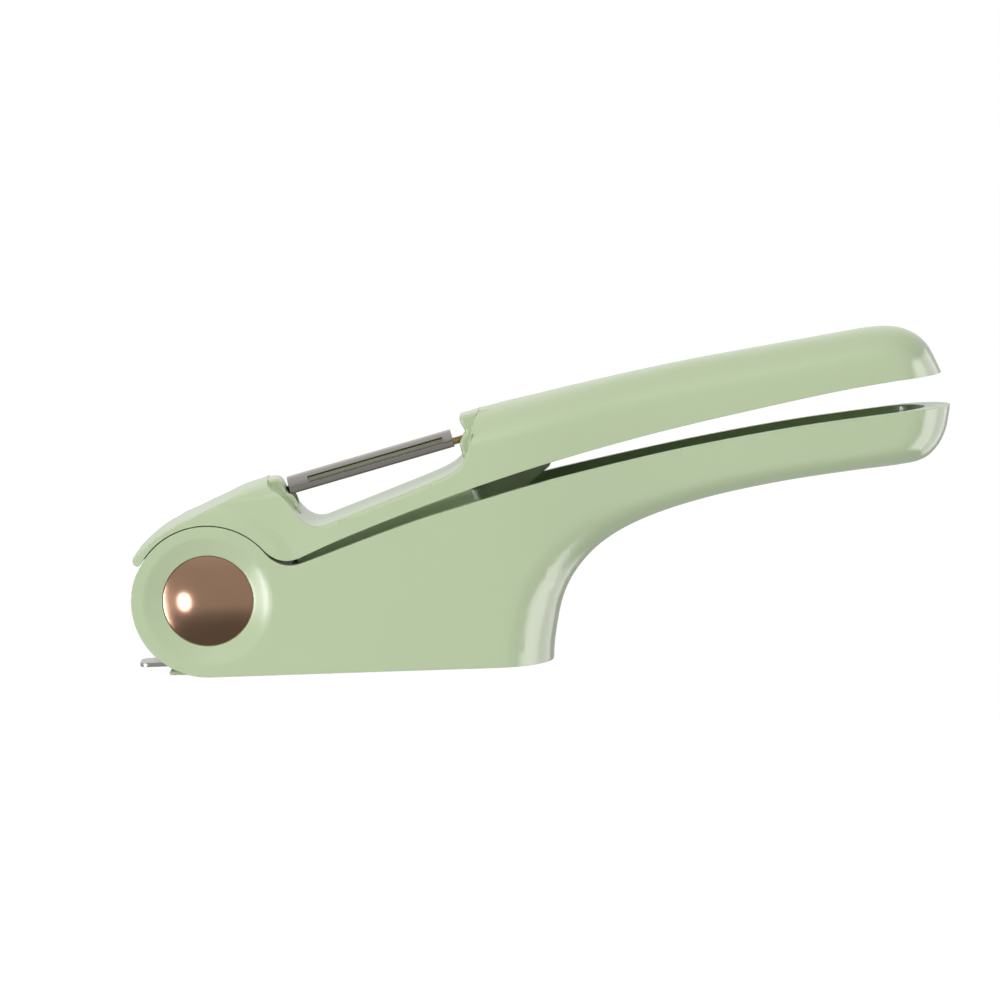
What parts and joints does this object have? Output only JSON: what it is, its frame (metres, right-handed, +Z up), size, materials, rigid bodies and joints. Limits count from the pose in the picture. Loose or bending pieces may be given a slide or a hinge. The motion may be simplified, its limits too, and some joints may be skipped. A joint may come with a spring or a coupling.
{
  "type": "garlic press",
  "caption": "Standing garlic press: green lever hinged over a pressing chamber with a slide-out sieve plate, and a swivelling peeler blade in the lever.",
  "frame": {"origin": "on the base plane, below the middle of the press's length", "axes": "+X from the hinge to the ends of the handles, +Y to the far side, +Z up"},
  "size_m": [0.205, 0.028, 0.0807],
  "materials": {
    "green_plastic": "satin pale green moulded plastic",
    "copper_finish": "polished copper-coloured metal",
    "stainless_steel": "brushed stainless steel",
    "nylon": "natural nylon"
  },
  "bodies": {
    "press_body": {"body_shell": "green_plastic", "chamber_liner": "stainless_steel", "hinge_axle": "stainless_steel", "hinge_cap_near": "copper_finish", "hinge_cap_far": "copper_finish", "thrust_washer_near": "nylon", "thrust_washer_far": "nylon"},
    "lever": {"lever_shell": "green_plastic", "hinge_bush_near": "nylon", "hinge_bush_far": "nylon", "press_block": "green_plastic", "press_plate": "stainless_steel", "press_plate_screw_1": "stainless_steel", "press_plate_screw_2": "stainless_steel", "press_plate_screw_3": "stainless_steel", "press_plate_screw_4": "stainless_steel", "press_block_screw_front": "stainless_steel", "press_block_screw_rear": "stainless_steel"},
    "blade": {"peeler_blade": "stainless_steel", "blade_pin_front": "stainless_steel", "blade_pin_rear": "stainless_steel"},
    "sieve": {"sieve_plate": "stainless_steel"}
  },
  "joints": [
    {"name": "lever_hinge", "type": "hinge", "parent": "press_body", "child": "lever", "pos_m": [-0.0836, 0, 0.0189], "axis": [0, -1, 0], "range_deg": [0, 62]},
    {"name": "blade_swivel", "type": "hinge", "parent": "lever", "child": "blade", "pos_m": [-0.0637, 0, 0.0446], "axis": [0.9686, 0, 0.2487], "range_deg": [-112, 8]},
    {"name": "sieve_slide", "type": "slide", "parent": "press_body", "child": "sieve", "axis": [-1, 0, 0], "range_m": [0, 0.08]}
  ]
}
